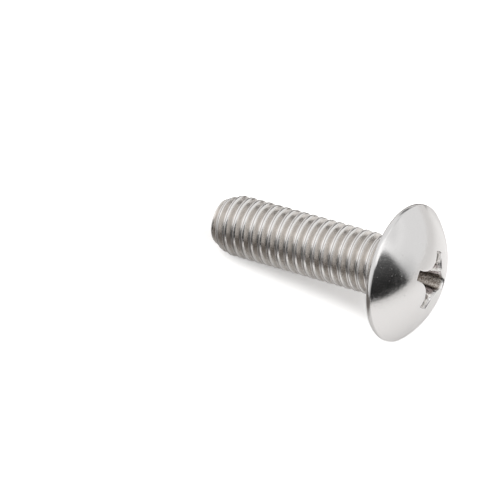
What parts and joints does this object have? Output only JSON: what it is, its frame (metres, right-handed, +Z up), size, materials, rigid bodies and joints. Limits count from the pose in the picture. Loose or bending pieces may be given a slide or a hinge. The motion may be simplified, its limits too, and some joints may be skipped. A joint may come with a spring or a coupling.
{
  "type": "truss head screw",
  "caption": "Machine screw with a wide low dome head, a crossed driver recess and a full-length metric thread, lying on its rim and thread.",
  "frame": {"origin": "on the floor, under the middle of the screw's bounding box as it lies", "axes": "+X along the floor from the thread's end towards the head, +Z up; the screw's own axis leans up towards the head by 11.4 degrees"},
  "size_m": [0.024, 0.0134, 0.0133],
  "materials": {
    "screw": "smooth rolled and headed steel with a bright satin polish"
  },
  "bodies": {
    "root": {"screw": "screw"}
  },
  "joints": []
}
